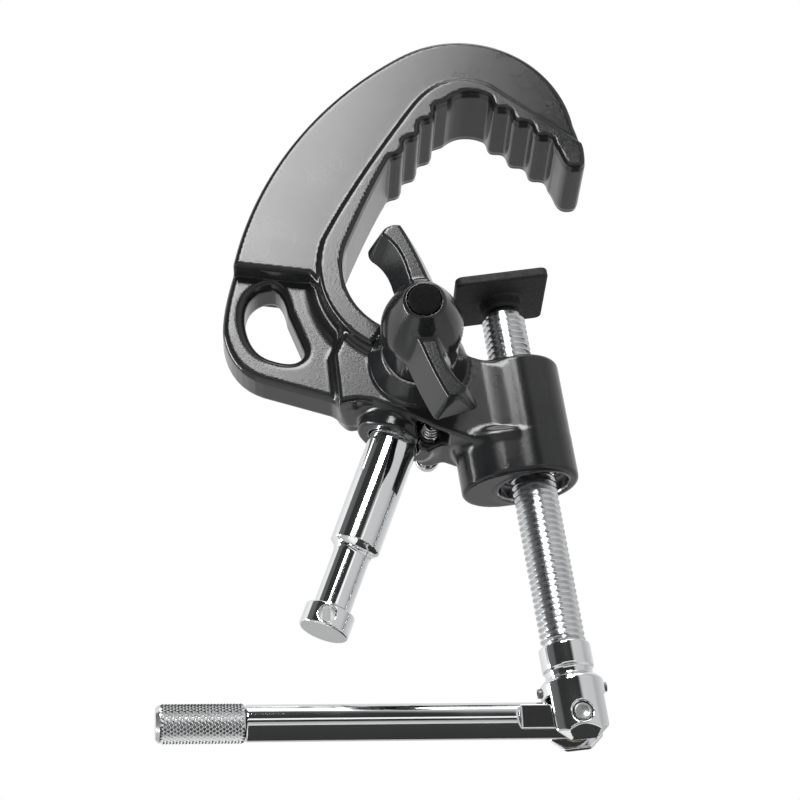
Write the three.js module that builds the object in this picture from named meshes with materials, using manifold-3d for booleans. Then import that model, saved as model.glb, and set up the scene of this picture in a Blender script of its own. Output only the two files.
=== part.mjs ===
// A scaffold-style super clamp for studio lighting: a cast C-shaped body, a screw
// with a swivelling pad and a folding handle, and a sloping socket that holds a
// 16 mm spigot under a wing bolt and a spring safety pin.
// Millimetres. +Z runs up the main screw, +X towards the jaw tip, -Y towards the
// wing knob. The origin is the middle of the pad's gripping face.
import * as THREE from 'three';
import { mergeVertices } from 'three/addons/utils/BufferGeometryUtils.js';
import Module from 'manifold-3d';

const wasm = await Module();
wasm.setup();

// ---- driving dimensions ---------------------------------------------------
const GAP = 0.3;                  // clearance between neighbouring pieces
const BAND_HALF = 14.5;           // half thickness of the C band
const RIM_HALF = 16.5;            // half thickness of the raised gripping rim
const EYE_HALF = 7.5;             // half thickness of the safety-eye plate
const ARM_HALF = 13;              // half thickness of the arm under the jaw
const BACK_ARC = { x: 27.5, z: -24.2, r: 119 };
const CROWN_ARC = { x: -4.7, z: 50.4, r: 37.7 };
const THROAT = { x: -26.2, z: 5.7, r: 24.2 };
const RIM_WIDTH = 7.8;            // rim width around the throat
const JAW_APEX_Z = 67;            // roof of the jaw above the pad face
const TOOTH_PITCH = 8.5;          // rounded gripping waves, valley to valley
const TOOTH_HEIGHT = 2.1;
const TIP_X = 34.2;
const TIP_Z = 34.4;
const ARM_BEVEL = [0.771, -0.158, 0.617];   // faces away from the arm's rear bevel
const ARM_BEVEL_AT = -66.7;

const SCREW_R = 7;                // M14 x 2 clamping screw
const SCREW_TOP = -7.6;
const SCREW_BOTTOM = -122.7;
const TAIL_R = 5;
const TAIL_BOTTOM = -138.6;
const BOSS_R = 14.5;              // vertical boss that carries the screw
const BOSS_TOP = -28.5;
const BOSS_BOTTOM = -69;
const SCREW_BORE_R = 7.6;         // plain bore above the nut
const FOOT_TOP = -53.5;
const FOOT_R = 14.4;
const FOOT_X = -8.6;
const NUT_R = 10.9;
const NUT_BOTTOM = -62;
const NUT_TOP = -48.4;
const NUT_POCKET_R = 11.2;
const CIRCLIP_BOTTOM = -63.7;

const PAD_X = 30;
const PAD_Y = 32;
const PAD_T = 3.2;
const PAD_HUB_R = 6.8;
const PAD_HUB_BOTTOM = -7.2;
const PAD_BORE_R = 4.3;
const PAD_BORE_TOP = -1.6;

const FORK_R = 10;
const FORK_TOP = -133.6;
const FORK_BOTTOM = -154.6;
const FORK_BEVEL = 3.7;            // the six flats round the fork's foot
const COLLAR_R = 8.1;
const COLLAR_TOP = -123;
const SLOT_HALF = 4.9;
const SLOT_TOP = -139.8;
const PIVOT_Z = -146.8;
const PIVOT_R = 3;
const PIVOT_HALF = 9.6;           // half length of the handle's pivot pin
const ROLL_PIN_Z = -137.1;
const ROLL_PIN_R = 1.5;
const ROLL_PIN_HALF = 10.8;
const HANDLE_TURN = THREE.MathUtils.degToRad(5);
const HANDLE_LIFT = 6;             // degrees that the bar rests above square
const HANDLE_LENGTH = 128.7;
const ROD_R = 5.65;
const TONGUE_HALF = 4.15;
const TONGUE_LENGTH = 19.5;
const GRIP_R = 6.1;
const GRIP_LENGTH = 27;

const KNOB_AXIS = { x: -31, z: -27 };
const SOCKET_TILT = THREE.MathUtils.degToRad(27.5);
const SPIGOT_R = 8;
const SPIGOT_TOP = -4.6;          // distances along the spigot from the knob's axis
const SOCKET_END = 23.5;
const SOCKET_R = 8.4;
const SOCKET_BOSS_R = 12.4;
const WING_BOSS_R = 15.6;
const SHOULDER = 61;
const NECK_START = 62.8;
const NECK_R = 5.9;
const HEAD_START = 83.6;
const SPIGOT_END = 91;
const GROOVE_AT = 17.5;           // safety groove, also the height of the pin
const GROOVE_DEPTH = 1.2;
const PIN_OFFSET = 10.2;          // safety pin's distance from the spigot's axis
const PIN_R = 3;
const LUG_FRONT_Y = -3;           // the lug that guides the safety pin
const LUG_BACK_Y = 13;
const POCKET_FRONT_Y = -11.4;     // open pocket in front of the lug, for the spring

const BOSS_FACE_Y = -22.4;        // front face of the wing bolt's boss
const KNOB_BACK_Y = -24.6;
const KNOB_SKIRT_Y = -37.4;
const KNOB_FRONT_Y = -59.2;
const KNOB_R = 12.8;
const INSERT_R = 7.2;
const INSERT_BACK_Y = -11.4;
const BOLT_R = 5;
const BOLT_FRONT_Y = -52;
const WING_BACK_Y = -38;
const WING_REACH = 30.7;
const WING_TILT_DEGREES = -8;

// ---- helpers --------------------------------------------------------------
const FULL = Math.PI * 2;

function toSolid(geometry) {
  const bare = new THREE.BufferGeometry();
  bare.setAttribute('position', geometry.getAttribute('position'));
  if (geometry.index) bare.setIndex(geometry.index);
  const merged = mergeVertices(bare, 1e-4);
  const source = merged.index.array;
  const kept = [];
  for (let i = 0; i < source.length; i += 3) {
    const [a, b, c] = [source[i], source[i + 1], source[i + 2]];
    if (a !== b && b !== c && c !== a) kept.push(a, b, c);
  }
  const mesh = new wasm.Mesh({
    numProp: 3,
    vertProperties: new Float32Array(merged.getAttribute('position').array),
    triVerts: new Uint32Array(kept),
  });
  return new wasm.Manifold(mesh);
}

function toGeometry(solid) {
  const mesh = solid.getMesh();
  const geometry = new THREE.BufferGeometry();
  geometry.setAttribute('position', new THREE.BufferAttribute(mesh.vertProperties, 3));
  geometry.setIndex(new THREE.BufferAttribute(mesh.triVerts, 1));
  geometry.computeVertexNormals();
  return geometry;
}

// A closed outline in the XZ plane, made solid between two Y values.
function slab(shape, yFront, yBack, curveSteps = 12) {
  const geometry = new THREE.ExtrudeGeometry(shape, {
    depth: yBack - yFront, bevelEnabled: false, curveSegments: curveSteps,
  });
  geometry.rotateX(Math.PI / 2);
  geometry.translate(0, yBack, 0);
  return toSolid(geometry);
}

// A turned solid about +Z from [radius, height] pairs, listed from the bottom up.
function turned(profile, sides = 32) {
  const points = profile.map(([r, h]) => new THREE.Vector2(r, h));
  const geometry = new THREE.LatheGeometry(points, sides);
  geometry.rotateX(Math.PI / 2);
  return toSolid(geometry);
}

function rod(radius, bottom, top, sides = 32) {
  return turned([[0, bottom], [radius, bottom], [radius, top], [0, top]], sides);
}

function ring(inner, outer, bottom, top, sides = 32) {
  const loop = [[inner, bottom], [outer, bottom], [outer, top], [inner, top]];
  return turned([...loop, loop[0]], sides);
}

// Turns a solid built about Z so that its heights run along +Y instead.
function alongY(solid, x, z) {
  return solid.rotate([-90, 0, 0]).translate([x, 0, z]);
}

// Heights run along +X instead.
function alongX(solid, y, z) {
  return solid.rotate([0, 90, 0]).translate([0, y, z]);
}

// Heights run down the sloping socket, measured from the knob's axis.
function alongSocket(solid) {
  const degrees = THREE.MathUtils.radToDeg(SOCKET_TILT);
  return solid.rotate([180, degrees, 0]).translate([KNOB_AXIS.x, 0, KNOB_AXIS.z]);
}

function block(x0, x1, y0, y1, z0, z1) {
  const geometry = new THREE.BoxGeometry(x1 - x0, y1 - y0, z1 - z0);
  geometry.translate((x0 + x1) / 2, (y0 + y1) / 2, (z0 + z1) / 2);
  return toSolid(geometry);
}

const group = new THREE.Group();

function place(name, solid, colour, roughness, metalness, parent = group) {
  const material = new THREE.MeshStandardMaterial({ color: colour, roughness, metalness });
  const mesh = new THREE.Mesh(toGeometry(solid), material);
  mesh.name = name;
  parent.add(mesh);
  return mesh;
}

// ---- cast body ------------------------------------------------------------
function arcPoint(arc, degrees, radius = arc.r) {
  const a = THREE.MathUtils.degToRad(degrees);
  return new THREE.Vector2(arc.x + radius * Math.cos(a), arc.z + radius * Math.sin(a));
}

// Rounded gripping waves from a valley, along a direction, standing into the opening.
function addWaves(path, from, degrees, count, first = 0) {
  const a = THREE.MathUtils.degToRad(degrees);
  const along = new THREE.Vector2(Math.cos(a), Math.sin(a));
  const inward = new THREE.Vector2(-along.y, along.x);
  const steps = Math.round((count - first) * 6);
  for (let i = 0; i <= steps; i++) {
    const t = first + (i / steps) * (count - first);
    const lift = TOOTH_HEIGHT * (1 - Math.cos(t * FULL)) / 2;
    const p = from.clone().addScaledVector(along, t * TOOTH_PITCH);
    p.addScaledVector(inward, lift);
    path.lineTo(p.x, p.y);
  }
}

// The gripping line from the tip round the roof and down the throat to the arm.
function addGrip(path) {
  addWaves(path, new THREE.Vector2(30.4, 40.2), 134, 4, 0.5);
  path.quadraticCurveTo(3.4, JAW_APEX_Z, -1, JAW_APEX_Z);
  path.quadraticCurveTo(-4.4, JAW_APEX_Z - 0.2, -7.2, JAW_APEX_Z - 2.4);
  addWaves(path, new THREE.Vector2(-11.1, 63.7), 224, 3);
  const top = arcPoint(THROAT, 153);
  path.quadraticCurveTo(-37.5, 35, top.x, top.y);
  path.absarc(THROAT.x, THROAT.z, THROAT.r, Math.PI * 0.85, Math.PI * 1.31, false);
}

// Round the end of the tip to its inner side.
function addTip(path) {
  path.quadraticCurveTo(TIP_X - 0.3, TIP_Z, TIP_X - 2.6, TIP_Z);
  path.quadraticCurveTo(TIP_X - 6.2, TIP_Z - 0.2, TIP_X - 7.2, TIP_Z + 3.2);
  path.lineTo(TIP_X - 7.8, TIP_Z + 5.6);
}

// Outer line from the step above the eye, over the back and the crown, to the tip.
function addBack(path, startDegrees) {
  const start = arcPoint(BACK_ARC, startDegrees);
  path.moveTo(start.x, start.y);
  const join = Math.atan2(CROWN_ARC.z - BACK_ARC.z, CROWN_ARC.x - BACK_ARC.x);
  const from = THREE.MathUtils.degToRad(startDegrees);
  path.absarc(BACK_ARC.x, BACK_ARC.z, BACK_ARC.r, from, join, true);
  path.absarc(CROWN_ARC.x, CROWN_ARC.z, CROWN_ARC.r, join, 0.02, true);
  path.quadraticCurveTo(TIP_X + 0.6, 42, TIP_X, TIP_Z + 2.6);
  addTip(path);
}

function bandShape() {
  const shape = new THREE.Shape();
  addBack(shape, 161);
  addGrip(shape);
  shape.lineTo(-47, -16);
  shape.lineTo(-61, 8.2);
  return shape;
}

function rimShape() {
  const shape = new THREE.Shape();
  shape.moveTo(TIP_X, 43.4);
  shape.lineTo(TIP_X, TIP_Z + 2.6);
  addTip(shape);
  addGrip(shape);
  const end = arcPoint(THROAT, 234, THROAT.r + RIM_WIDTH);
  shape.lineTo(end.x, end.y);
  const rim = THROAT.r + RIM_WIDTH;
  shape.absarc(THROAT.x, THROAT.z, rim, Math.PI * 1.3, Math.PI * 0.86, true);
  shape.quadraticCurveTo(-43, 38, -19.4, 64);
  shape.quadraticCurveTo(-12, 72.3, -3.6, 72.6);
  shape.quadraticCurveTo(3, 72.8, 8.2, 68.8);
  return shape;
}

function eyeShape() {
  const shape = new THREE.Shape();
  const start = arcPoint(BACK_ARC, 160);
  shape.moveTo(start.x, start.y);
  shape.lineTo(-55, 20);
  shape.lineTo(-47, -12);
  shape.lineTo(-45, -38);
  shape.lineTo(-58.5, -34.2);
  shape.lineTo(-80.4, -24.2);
  shape.quadraticCurveTo(-90.6, -19, -91, -6);
  shape.quadraticCurveTo(-90.6, 2, start.x, start.y);
  return shape;
}

// Tear-drop through the plate: full and round at the left, narrow at the lower right.
function eyeHole() {
  const hole = new THREE.Shape();
  hole.moveTo(-73.9, 8.6);
  hole.quadraticCurveTo(-83.2, 7.8, -83.4, -3.2);
  hole.quadraticCurveTo(-83.2, -13.4, -76.5, -16.4);
  hole.quadraticCurveTo(-71.8, -18.8, -69, -18.2);
  hole.quadraticCurveTo(-65.6, -17.2, -66.3, -13.8);
  hole.lineTo(-69.5, -1);
  hole.quadraticCurveTo(-69.7, 8, -73.9, 8.6);
  return slab(hole, -EYE_HALF - 5, EYE_HALF + 5, 14);
}

function armShape() {
  const shape = new THREE.Shape();
  const top = arcPoint(THROAT, 232);
  shape.moveTo(top.x, top.y);
  shape.lineTo(-51, -10);
  shape.lineTo(-57.2, -20);
  shape.lineTo(-58, -37.4);
  shape.lineTo(-52, -37);
  shape.lineTo(-47.4, -38.3);
  shape.lineTo(-39.2, -42.4);
  shape.lineTo(-29.4, -49.9);
  shape.lineTo(-17.6, -56.2);
  shape.lineTo(-4, -56.2);
  shape.lineTo(-4, -31.6);
  return shape;
}

function castBody() {
  const socketCentre = alongSocket(rod(SOCKET_BOSS_R, 4, SOCKET_END, 40));
  const wingBoss = alongY(turned([
    [0, BOSS_FACE_Y], [12, BOSS_FACE_Y], [WING_BOSS_R, -12.6], [WING_BOSS_R, -8], [0, -8],
  ], 40), KNOB_AXIS.x, KNOB_AXIS.z);
  const foot = rod(FOOT_R, BOSS_BOTTOM, FOOT_TOP, 40).translate([FOOT_X, 0, 0]);
  const footFill = block(FOOT_X, 0, -FOOT_R, FOOT_R, BOSS_BOTTOM, FOOT_TOP);
  const pinLug = alongY(rod(5, LUG_FRONT_Y, LUG_BACK_Y, 24), pinPlace().x, pinPlace().z);
  let body = slab(bandShape(), -BAND_HALF, BAND_HALF, 20);
  body = body.add(slab(rimShape(), -RIM_HALF, RIM_HALF, 16));
  body = body.add(slab(eyeShape(), -EYE_HALF, EYE_HALF, 16));
  const arm = slab(armShape(), -ARM_HALF, ARM_HALF);
  body = body.add(arm.trimByPlane(ARM_BEVEL, ARM_BEVEL_AT));
  body = body.add(rod(BOSS_R, BOSS_BOTTOM, BOSS_TOP, 40)).add(foot).add(footFill);
  body = body.add(socketCentre).add(wingBoss).add(pinLug);

  body = body.subtract(eyeHole());
  body = body.subtract(rod(SCREW_BORE_R, BOSS_BOTTOM - 1, BOSS_TOP + 1));
  body = body.subtract(rod(NUT_POCKET_R, BOSS_BOTTOM - 1, NUT_TOP + GAP));
  body = body.subtract(alongSocket(rod(SOCKET_R, SPIGOT_TOP - GAP, SOCKET_END + 4)));
  const boltHole = rod(INSERT_R + GAP, BOSS_FACE_Y - 1, INSERT_BACK_Y + GAP);
  body = body.subtract(alongY(boltHole, KNOB_AXIS.x, KNOB_AXIS.z));
  const tipHole = rod(5.6, INSERT_BACK_Y - 1, 0);
  body = body.subtract(alongY(tipHole, KNOB_AXIS.x, KNOB_AXIS.z));
  body = body.subtract(springPocket());
  const pinBore = rod(PIN_R + GAP, LUG_FRONT_Y - 1, LUG_BACK_Y + 1, 20);
  return body.subtract(alongY(pinBore, pinPlace().x, pinPlace().z));
}

// ---- clamping screw, nut, pad ---------------------------------------------
function screwSolid() {
  const shank = turned([
    [0, TAIL_BOTTOM], [TAIL_R, TAIL_BOTTOM], [TAIL_R, SCREW_BOTTOM], [SCREW_R - 1, SCREW_BOTTOM],
    [SCREW_R, SCREW_BOTTOM + 1], [SCREW_R, SCREW_TOP - 2], [SCREW_R - 2, SCREW_TOP],
    [3.9, SCREW_TOP], [3.9, -4.6], [2.9, -4.6], [2.9, -3.2], [3.9, -3.2], [3.9, -2.4],
    [3.4, -1.9], [0, -1.9],
  ], 28);
  const degrees = THREE.MathUtils.radToDeg(HANDLE_TURN);
  const crossHole = alongX(rod(ROLL_PIN_R + GAP, -8, 8, 16), 0, ROLL_PIN_Z).rotate([0, 0, degrees]);
  return shank.subtract(crossHole);
}

function nutSolid() {
  return ring(SCREW_R + 0.4, NUT_R, NUT_BOTTOM, NUT_TOP, 28);
}

// An open snap ring: a flat ring with a gap cut in it.
function snapRing(inner, outer, bottom, top, gap, sides = 32) {
  const whole = ring(inner, outer, bottom, top, sides);
  return whole.subtract(block(0, outer + 1, -gap / 2, gap / 2, bottom - 1, top + 1));
}

function padShape() {
  const clip = 2.4;
  const [hx, hy] = [PAD_X / 2, PAD_Y / 2];
  const shape = new THREE.Shape();
  shape.moveTo(hx - clip, -hy);
  shape.lineTo(hx, -hy + clip);
  shape.lineTo(hx, hy - clip);
  shape.lineTo(hx - clip, hy);
  shape.lineTo(-hx + clip, hy);
  shape.lineTo(-hx, hy - clip);
  shape.lineTo(-hx, -hy + clip);
  shape.lineTo(-hx + clip, -hy);
  return shape;
}

function padSolid() {
  const plateGeometry = new THREE.ExtrudeGeometry(padShape(), { depth: PAD_T, bevelEnabled: false });
  plateGeometry.translate(0, 0, -PAD_T);
  const hub = rod(PAD_HUB_R, PAD_HUB_BOTTOM, -PAD_T / 2);
  const bore = rod(PAD_BORE_R, PAD_HUB_BOTTOM - 1, PAD_BORE_TOP);
  const ringGroove = rod(5.2, -4.9, -2.9);
  return toSolid(plateGeometry).add(hub).subtract(bore).subtract(ringGroove);
}

// ---- fork and folding handle (their own frame: handle along -X) -------------
function forkSolid() {
  const blank = turned([
    [0, FORK_BOTTOM], [FORK_R, FORK_BOTTOM], [FORK_R, FORK_TOP - 1.8], [COLLAR_R, FORK_TOP],
    [COLLAR_R - 0.7, FORK_TOP + 1], [COLLAR_R - 0.7, FORK_TOP + 2.2], [COLLAR_R, FORK_TOP + 3],
    [COLLAR_R, COLLAR_TOP - 0.8], [COLLAR_R - 0.8, COLLAR_TOP], [0, COLLAR_TOP],
  ], 32);
  const acrossCorners = 1 / Math.cos(Math.PI / 6);
  const corner = FORK_R * acrossCorners;
  const bevels = turned([
    [0, FORK_BOTTOM], [corner - FORK_BEVEL * acrossCorners, FORK_BOTTOM],
    [corner, FORK_BOTTOM + FORK_BEVEL], [corner, COLLAR_TOP + 1], [0, COLLAR_TOP + 1],
  ], 6).rotate([0, 0, 30]);
  const slot = block(-20, 20, -SLOT_HALF, SLOT_HALF, FORK_BOTTOM - 1, SLOT_TOP);
  const pivot = alongY(rod(PIVOT_R + GAP, -20, 20, 24), 0, PIVOT_Z);
  const tailBore = rod(TAIL_R + GAP, SLOT_TOP - 1, COLLAR_TOP + 1);
  const rollHole = alongX(rod(ROLL_PIN_R + GAP, -20, 20, 16), 0, ROLL_PIN_Z);
  const bored = blank.intersect(bevels).subtract(slot).subtract(tailBore);
  return bored.subtract(pivot).subtract(rollHole);
}

// Tips a piece of the bar up about the pivot, grip end first.
function lifted(solid) {
  return solid.translate([0, 0, -PIVOT_Z]).rotate([0, HANDLE_LIFT, 0]).translate([0, 0, PIVOT_Z]);
}

function rodSolid() {
  const gripEnd = HANDLE_LENGTH - GRIP_LENGTH;
  const shaft = turned([
    [0, -8], [ROD_R, -8], [ROD_R, gripEnd], [4, gripEnd], [4, HANDLE_LENGTH - 6],
    [0, HANDLE_LENGTH - 6],
  ]);
  let body = shaft.rotate([0, -90, 0]).translate([0, 0, PIVOT_Z]);
  const flat = { from: -TONGUE_LENGTH, to: 12 };
  body = body.subtract(block(flat.from, flat.to, TONGUE_HALF, 9, PIVOT_Z - 9, PIVOT_Z + 9));
  body = body.subtract(block(flat.from, flat.to, -9, -TONGUE_HALF, PIVOT_Z - 9, PIVOT_Z + 9));
  const roundEnd = alongY(rod(ROD_R, -9, 9), 0, PIVOT_Z);
  const reach = block(-HANDLE_LENGTH - 5, 0, -9, 9, PIVOT_Z - 9, PIVOT_Z + 9);
  body = body.intersect(reach.add(roundEnd));
  return lifted(body.subtract(alongY(rod(PIVOT_R + GAP, -9, 9, 24), 0, PIVOT_Z)));
}

function gripSolid() {
  const start = HANDLE_LENGTH - GRIP_LENGTH + GAP;
  const sleeve = turned([
    [4.3, start], [GRIP_R - 0.5, start], [GRIP_R, start + 0.5], [GRIP_R, HANDLE_LENGTH - 1.2],
    [GRIP_R - 1.2, HANDLE_LENGTH], [0, HANDLE_LENGTH], [0, HANDLE_LENGTH - 5.7],
    [4.3, HANDLE_LENGTH - 5.7], [4.3, start],
  ], 40);
  return lifted(sleeve.rotate([0, -90, 0]).translate([0, 0, PIVOT_Z]));
}

function pivotPin() {
  return alongY(rod(PIVOT_R, -PIVOT_HALF, PIVOT_HALF, 24), 0, PIVOT_Z);
}

function handleWasher(yFront, yBack) {
  return alongY(ring(PIVOT_R + GAP, 5.2, yFront, yBack, 28), 0, PIVOT_Z);
}

// ---- wing bolt --------------------------------------------------------------
function insertSolid() {
  return alongY(ring(BOLT_R + 0.35, INSERT_R, BOSS_FACE_Y, INSERT_BACK_Y), KNOB_AXIS.x, KNOB_AXIS.z);
}

function boltSolid() {
  const bolt = turned([
    [0, BOLT_FRONT_Y], [BOLT_R, BOLT_FRONT_Y], [BOLT_R, -11], [BOLT_R - 1, -10.2], [1.6, -10.2], [0, -10.2],
  ]);
  const tipSeat = rod(1.9, -14, -9);
  return alongY(bolt.subtract(tipSeat), KNOB_AXIS.x, KNOB_AXIS.z);
}

function boltTip() {
  const tip = turned([
    [0, -13.4], [1.6, -13.4], [1.6, -9.9], [4.2, -9.9], [4.2, -8.9], [3.6, -8.3], [0, -8.3],
  ], 24);
  return alongY(tip, KNOB_AXIS.x, KNOB_AXIS.z);
}

// One curved wing, seen along the knob's axis, bending to one side near its tip.
function wingShape() {
  const shape = new THREE.Shape();
  shape.moveTo(-2.4, 4);
  shape.lineTo(-2.9, 16.5);
  shape.quadraticCurveTo(-3.2, 23, -6.6, WING_REACH - 3);
  shape.quadraticCurveTo(-4.4, WING_REACH + 0.4, -0.4, WING_REACH);
  shape.quadraticCurveTo(3.2, WING_REACH, 3.7, WING_REACH - 3.2);
  shape.quadraticCurveTo(5.4, 19, 6.2, 10);
  shape.lineTo(6.6, 4);
  return shape;
}

function knobSolid() {
  const hub = turned([
    [0, KNOB_BACK_Y], [KNOB_R - 1.8, KNOB_BACK_Y], [KNOB_R - 0.8, KNOB_SKIRT_Y],
    [KNOB_R, KNOB_SKIRT_Y - 0.6], [KNOB_R, KNOB_SKIRT_Y - 3], [KNOB_R - 1, KNOB_SKIRT_Y - 8],
    [KNOB_R - 3, KNOB_SKIRT_Y - 14], [KNOB_R - 5.4, KNOB_FRONT_Y + 2.6],
    [KNOB_R - 6.6, KNOB_FRONT_Y + 0.8], [0, KNOB_FRONT_Y + 0.8],
  ].reverse(), 32);
  let knob = alongY(hub, 0, 0);
  for (const turn of [0, 180]) {
    const blade = slab(wingShape(), BOLT_FRONT_Y, WING_BACK_Y, 5);
    knob = knob.add(blade.rotate([0, turn, 0]));
  }
  knob = knob.subtract(alongY(rod(BOLT_R + GAP, BOLT_FRONT_Y - GAP, KNOB_BACK_Y + 1), 0, 0));
  knob = knob.subtract(alongY(rod(5.3, KNOB_FRONT_Y - 1, KNOB_FRONT_Y + 2.6), 0, 0));
  return knob.rotate([0, WING_TILT_DEGREES, 0]).translate([KNOB_AXIS.x, 0, KNOB_AXIS.z]);
}

function capSolid() {
  const cap = turned([
    [0, KNOB_FRONT_Y - 0.2], [4.4, KNOB_FRONT_Y - 0.2], [5, KNOB_FRONT_Y + 0.4],
    [5, KNOB_FRONT_Y + 2.3], [0, KNOB_FRONT_Y + 2.3],
  ]);
  return alongY(cap, KNOB_AXIS.x, KNOB_AXIS.z);
}

function knobWasher() {
  const front = KNOB_BACK_Y + GAP;
  return alongY(ring(BOLT_R + 0.4, 9.5, front, front + 1.5), KNOB_AXIS.x, KNOB_AXIS.z);
}

// ---- spigot and safety pin ----------------------------------------------------
function spigotSolid() {
  const pin = turned([
    [0, SPIGOT_TOP], [SPIGOT_R - 1, SPIGOT_TOP], [SPIGOT_R, SPIGOT_TOP + 1],
    [SPIGOT_R, GROOVE_AT - 4.2], [SPIGOT_R - GROOVE_DEPTH, GROOVE_AT - 3.4],
    [SPIGOT_R - GROOVE_DEPTH, GROOVE_AT + 3.4], [SPIGOT_R, GROOVE_AT + 4.2],
    [SPIGOT_R, SHOULDER],
    [NECK_R, NECK_START], [NECK_R, HEAD_START - 0.4], [SPIGOT_R, HEAD_START],
    [SPIGOT_R, SPIGOT_END - 0.6], [SPIGOT_R - 0.6, SPIGOT_END], [0, SPIGOT_END],
  ], 32);
  const cross = alongY(rod(2.5, -12, 12, 20), 0, (HEAD_START + SPIGOT_END) / 2);
  return alongSocket(pin.subtract(cross));
}

// Where the safety pin crosses, beside the spigot.
function pinPlace() {
  const [s, c] = [Math.sin(SOCKET_TILT), Math.cos(SOCKET_TILT)];
  return {
    x: KNOB_AXIS.x - s * GROOVE_AT + c * PIN_OFFSET,
    z: KNOB_AXIS.z - c * GROOVE_AT - s * PIN_OFFSET,
  };
}

// Pocket open to the underside, where the safety pin's spring shows.
function springPocket() {
  const at = pinPlace();
  return block(at.x - 4.6, at.x + 4.8, POCKET_FRONT_Y, LUG_FRONT_Y, at.z - 20, at.z + 4.2);
}

function safetyPin() {
  const button = LUG_BACK_Y + 4.6;
  const pin = turned([
    [0, LUG_FRONT_Y - 1.8], [1.4, LUG_FRONT_Y - 1.8], [1.4, LUG_FRONT_Y - 0.3],
    [PIN_R - 0.4, LUG_FRONT_Y - 0.1], [PIN_R, LUG_FRONT_Y + 0.4], [PIN_R, 0.5], [1.7, 1.2],
    [1.7, 7.6], [PIN_R, 8.4], [PIN_R, LUG_BACK_Y - 0.4], [2.2, LUG_BACK_Y],
    [2.2, button - 0.3], [4, button - 0.3], [4, button + 2.4], [3.2, button + 3.2],
    [0, button + 3.2],
  ], 18);
  return alongY(pin, pinPlace().x, pinPlace().z);
}

function pinClip() {
  const back = LUG_FRONT_Y - 0.4;
  const clip = snapRing(1.7, 3.8, back - 0.6, back, 2.2, 18).rotate([0, 0, 60]);
  return alongY(clip, pinPlace().x, pinPlace().z);
}

class CoilCurve extends THREE.Curve {
  constructor(startRadius, endRadius, from, to, turns) {
    super();
    Object.assign(this, { startRadius, endRadius, from, to, turns });
  }

  getPoint(t) {
    const a = t * this.turns * FULL;
    const h = THREE.MathUtils.lerp(this.from, this.to, t);
    const r = THREE.MathUtils.lerp(this.startRadius, this.endRadius, t);
    return new THREE.Vector3(r * Math.cos(a), r * Math.sin(a), h);
  }
}

function wireShape(radius) {
  const shape = new THREE.Shape();
  for (let i = 0; i < 6; i++) {
    const a = (i / 6) * FULL;
    if (i === 0) shape.moveTo(radius, 0);
    else shape.lineTo(radius * Math.cos(a), radius * Math.sin(a));
  }
  return shape;
}

function pinSpring() {
  const path = new CoilCurve(1.9, 3, POCKET_FRONT_Y + 0.7, LUG_FRONT_Y - 1.7, 4);
  const geometry = new THREE.ExtrudeGeometry(wireShape(0.36), {
    steps: 48, extrudePath: path, bevelEnabled: false,
  });
  return alongY(toSolid(geometry), pinPlace().x, pinPlace().z);
}

// ---- assembly -----------------------------------------------------------------
const BLACK_PAINT = 0x2b2d2e;
const BLACK_PLASTIC = 0x1f2122;
const ZINC = 0xc9cccd;
const CHROME = 0xdfe2e4;
const STEEL = 0x8f9395;
const BRASS = 0xb99a55;

place('body_casting', castBody(), BLACK_PAINT, 0.45, 0.1);
place('screw_nut', nutSolid(), STEEL, 0.4, 1);
const circlip = snapRing(9.4, NUT_POCKET_R - GAP, CIRCLIP_BOTTOM, CIRCLIP_BOTTOM + 1.3, 4);
place('nut_circlip', circlip, STEEL, 0.5, 1);
place('main_screw', screwSolid(), ZINC, 0.3, 1);
place('pressure_pad', padSolid(), BLACK_PLASTIC, 0.6, 0.1);
place('pad_snap_ring', snapRing(3.2, 4.9, -4.4, -3.4, 2, 24), STEEL, 0.5, 1);

const handleFrame = new THREE.Group();
handleFrame.rotation.z = HANDLE_TURN;
group.add(handleFrame);
place('fork', forkSolid(), CHROME, 0.15, 1, handleFrame);
const rollPin = alongX(ring(0.9, ROLL_PIN_R, -ROLL_PIN_HALF, ROLL_PIN_HALF, 14), 0, ROLL_PIN_Z);
place('fork_roll_pin', rollPin, STEEL, 0.4, 1, handleFrame);
place('handle_pivot_pin', pivotPin(), ZINC, 0.3, 1, handleFrame);
place('handle_washer_front', handleWasher(-4.85, -4.5), BRASS, 0.4, 1, handleFrame);
place('handle_washer_rear', handleWasher(4.5, 4.85), BRASS, 0.4, 1, handleFrame);
place('handle_rod', rodSolid(), CHROME, 0.12, 1, handleFrame);
place('handle_grip', gripSolid(), CHROME, 0.35, 1, handleFrame);

place('thread_insert', insertSolid(), BRASS, 0.4, 1);
place('knob_bolt', boltSolid(), ZINC, 0.3, 1);
place('bolt_tip', boltTip(), BRASS, 0.4, 1);
place('knob_washer', knobWasher(), ZINC, 0.35, 1);
place('wing_knob', knobSolid(), BLACK_PLASTIC, 0.5, 0);
place('knob_cap', capSolid(), BLACK_PLASTIC, 0.8, 0);

place('spigot', spigotSolid(), CHROME, 0.1, 1);
place('safety_pin', safetyPin(), CHROME, 0.2, 1);
place('safety_pin_clip', pinClip(), STEEL, 0.4, 1);
place('safety_pin_spring', pinSpring(), ZINC, 0.3, 1);

export default group;
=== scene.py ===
import bmesh
import bpy
import math
import numpy as np
from mathutils import Matrix, Vector


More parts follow.
